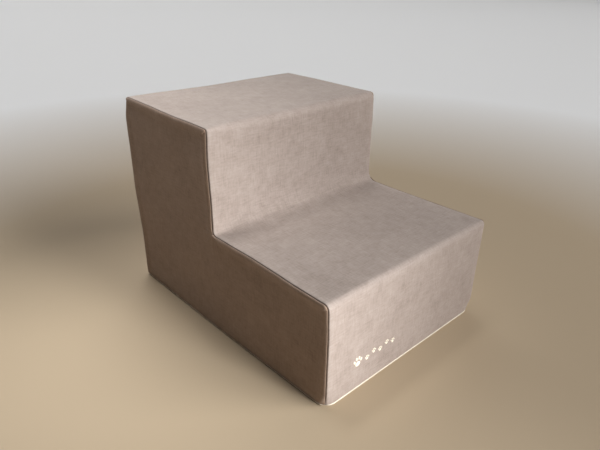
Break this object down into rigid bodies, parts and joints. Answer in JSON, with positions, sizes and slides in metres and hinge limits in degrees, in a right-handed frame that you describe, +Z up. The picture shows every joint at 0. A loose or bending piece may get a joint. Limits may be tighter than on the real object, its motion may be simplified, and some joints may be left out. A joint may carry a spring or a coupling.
{
  "type": "pet stairs",
  "caption": "Two-step foam pet stairs in a fitted, zip-off fabric cover with a non-slip base.",
  "frame": {"origin": "middle of the footprint, on the floor; the zip slider that stands proud of the back counts in the footprint", "axes": "+X across the treads, to the animal's right as it climbs; +Y the way it climbs, from the front face to the back; +Z up"},
  "size_m": [0.4, 0.5406, 0.376],
  "materials": {
    "foam": "open-cell polyurethane foam, matt",
    "cover_cloth": "short-napped taupe microsuede, matt with a soft sheen",
    "base_cloth": "cream cloth with rubber dots, matt",
    "zip_tape": "woven polyester tape",
    "zip_coil": "nylon coil, satin",
    "thread": "polyester thread",
    "label_satin": "white satin ribbon, blank",
    "zinc": "plated zinc alloy, satin"
  },
  "bodies": {
    "stairs": {"core_base_block": "foam", "core_top_block": "foam", "cover_step_strip": "cover_cloth", "cover_left_side": "cover_cloth", "cover_right_side": "cover_cloth", "cover_back_panel": "cover_cloth", "cover_back_lower_strip": "cover_cloth", "base_panel": "base_cloth", "zip_tape_upper": "zip_tape", "zip_tape_lower": "zip_tape", "zip_coil_upper": "zip_coil", "zip_coil_lower": "zip_coil", "zip_bar_tack_left": "thread", "zip_bar_tack_right": "thread", "care_label": "label_satin"},
    "zip_slider": {"zip_slider": "zinc"},
    "zip_pull": {"zip_pull_tab": "zinc"}
  },
  "joints": [
    {"name": "zip_slide", "type": "slide", "parent": "stairs", "child": "zip_slider", "axis": [1, 0, 0], "range_m": [0, 0.35]},
    {"name": "pull_flip", "type": "hinge", "parent": "zip_slider", "child": "zip_pull", "pos_m": [-0.175, 0.2686, 0.042], "axis": [0, 0, 1], "range_deg": [0, 180]}
  ]
}
